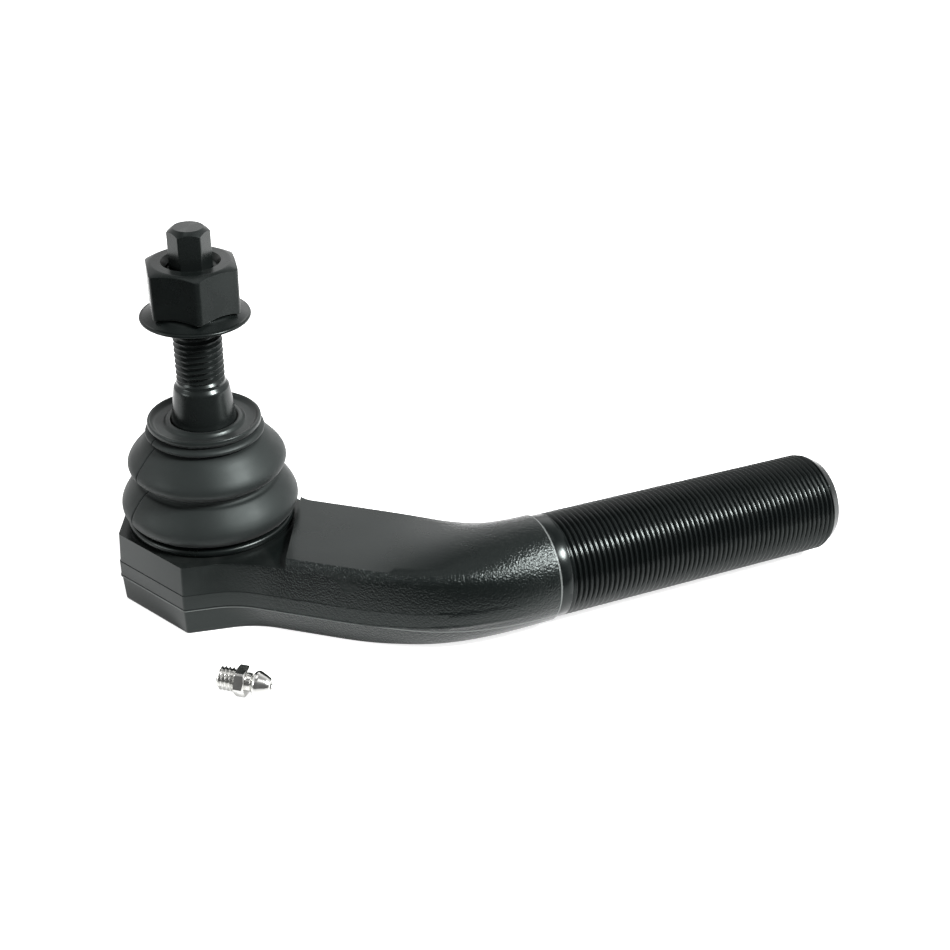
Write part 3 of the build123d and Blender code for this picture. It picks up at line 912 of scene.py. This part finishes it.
ring_rubber = rubber("ring_rubber", (0.0060, 0.0074, 0.0071, 1), 0.33, 0.00004)
mesh = bmesh.new()
dish = [(8.25, 48.0), (8.25, 49.0), (8.7, 49.35), (9.5, 49.2), (9.9, 48.7), (10.3, 48.35), (12.5, 48.45),
        (13.1, 48.9), (13.5, 49.45), (14.1, 49.4), (14.25, 49.0), (14.25, 48.3), (13.6, 47.5), (9.0, 47.45),
        (8.25, 48.0)]
revolved(mesh, eased(dish, 0.35, 4), 160)
finished("seal_ring", mesh, ring_rubber, "collar", sharp=50)
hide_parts("boot_ring")

# ================================================================ grease fitting
# A small zinc-plated fitting, not yet screwed in: a 6 mm taper thread, a hex, a neck and a
# coned head whose mouth is shut by a sprung ball.

plating, tree, shader = material("bright_zinc", Metallic=1.0)
zinc, polished_lit_zinc = (0.72, 0.72, 0.70, 1), (0.86, 0.86, 0.84, 1)
# Edges brighter: partly polished by wear, partly painted highlight.
tree.links.new(coat_colour(tree, zinc, polished_lit_zinc, 0.5), shader.inputs["Base Color"])
tree.links.new(wandering(tree, 700.0, 0.10, 0.20), shader.inputs["Roughness"])

fitting_place = (-12.2, -45.8)
fitting_angle = radians(-37.8)
fitting_flats = 7.0
laid = (UPRIGHT @ Matrix.Translation((*fitting_place, fitting_flats / 2))
        @ Matrix.Rotation(fitting_angle, 4, "Z") @ Matrix.Rotation(pi / 2, 4, "Y"))
fitting_thread, thread_length, hex_length = 3.0, 4.6, 2.8
hex_top = thread_length + hex_length
fitting_length = 13.2
bore = 1.3
seat, valve_radius = fitting_length - 2.1, 1.15


def fitting_reach(h):
    return smooth(4.7, 4.0, h) if h > 4.0 else 1.0, fitting_thread - max(0.0, 0.7 - h)


mesh = bmesh.new()
revolved(mesh, [(bore, 0), (fitting_thread - 0.7, 0)], 96)
threaded(mesh, fitting_thread, 0.55, 1.0, 0, thread_length, fitting_reach, 96)
hexed(mesh, fitting_flats, thread_length, hex_top, (3.3, 0.3), (3.3, 0.45), pi / 6,
      (fitting_thread, 2.3), 96, 0.97)
head = eased([(2.3, hex_top), (2.25, hex_top + 0.5), (2.2, hex_top + 1.1), (3.05, hex_top + 1.9),
              (3.2, hex_top + 2.4), (3.1, hex_top + 3.0), (2.2, fitting_length - 0.9),
              (1.7, fitting_length - 0.15), (1.5, fitting_length), (0.95, fitting_length),
              (0.8, fitting_length - 0.3), (0.8, seat + 1.35), (1.0, seat + 1.0), (bore, seat + 0.4),
              (bore, 0)], 0.16, 3)
revolved(mesh, head, 96)
finished("grease_nipple", mesh, plating, "fitting", laid, sharp=40)
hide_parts("grease_fitting")

mesh = bmesh.new()
bmesh.ops.create_icosphere(mesh, subdivisions=4, radius=valve_radius, matrix=Matrix.Translation((0, 0, seat)))
ball_polish, tree, shader = material("ball_polish", Metallic=1.0, Base_Color=(0.72, 0.72, 0.72, 1))
tree.links.new(wandering(tree, 900.0, 0.06, 0.12), shader.inputs["Roughness"])
finished("valve_ball", mesh, ball_polish, "fitting_ball", laid)
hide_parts("check_ball")

spring_steel = steel("spring_steel", (0.20, 0.20, 0.21, 1), 0.3, 1.0, 0.4)


def coil(name, radius, wire, low, high, coils, body, place):
    """A round-wire compression spring."""
    mesh = bmesh.new()
    around, along = 8, int(coils * 28)
    rows = []
    for i in range(along + 1):
        t = i / along
        a = 2 * pi * coils * t
        centre = Vector((radius * cos(a), radius * sin(a), low + wire + (high - low - 2 * wire) * t))
        outward = Vector((cos(a), sin(a), 0))
        rows.append(new_mesh([centre + wire * (outward * cos(b) + Vector((0, 0, sin(b))))
                              for b in (2 * pi * k / around for k in range(around))], mesh))
    strip(mesh, rows, True)
    mesh.faces.new(rows[0])
    mesh.faces.new(rows[-1][::-1])
    return finished(name, mesh, spring_steel, body, place)


spring_low, spring_high = seat - 4.3, seat - valve_radius - 0.03
spring = coil("valve_spring", 1.0, 0.15, spring_low, spring_high, 7, "fitting", laid)
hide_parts("fitting_spring")

# ================================================================ inside the socket
# The ball runs between a fixed race and a sprung seat. A plate with the tapped grease hole
# closes the bore, sealed by a ring in its edge and held by a snap ring. These keep their
# solids, and only take their finishes here.

bearing_iron = steel("bearing_iron", (0.26, 0.25, 0.24, 1), 0.45, 1.0, 0.3, grain=0.00003)
zinc_cover = steel("zinc_cover", (0.42, 0.41, 0.37, 1), 0.36, 1.0, 0.5, (0.7, 0.7, 0.68, 1))
ring_black = steel("ring_black", (0.045, 0.045, 0.047, 1), 0.38, 0.6, 0.8)
seal_rubber = rubber("seal_rubber", (0.02, 0.02, 0.02, 1), 0.5, 0.00003)
seat_resin, tree, shader = material("seat_resin", Specular_IOR_Level=0.4)
cream = mixed(tree, noisy(tree, placed(tree), 160.0, 3.0), (0.70, 0.67, 0.58, 1), (0.78, 0.75, 0.67, 1))
tree.links.new(cream, shader.inputs["Base Color"])
tree.links.new(wandering(tree, 200.0, 0.42, 0.55), shader.inputs["Roughness"])

inner_finishes = {"upper_bearing": bearing_iron, "lower_bearing": seat_resin, "preload_spring": spring_steel,
                  "cover_plate": zinc_cover, "cover_seal": seal_rubber, "snap_ring": ring_black}
for part, finish in inner_finishes.items():
    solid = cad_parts[part]
    solid.data.materials.clear()
    solid.data.materials.append(finish)
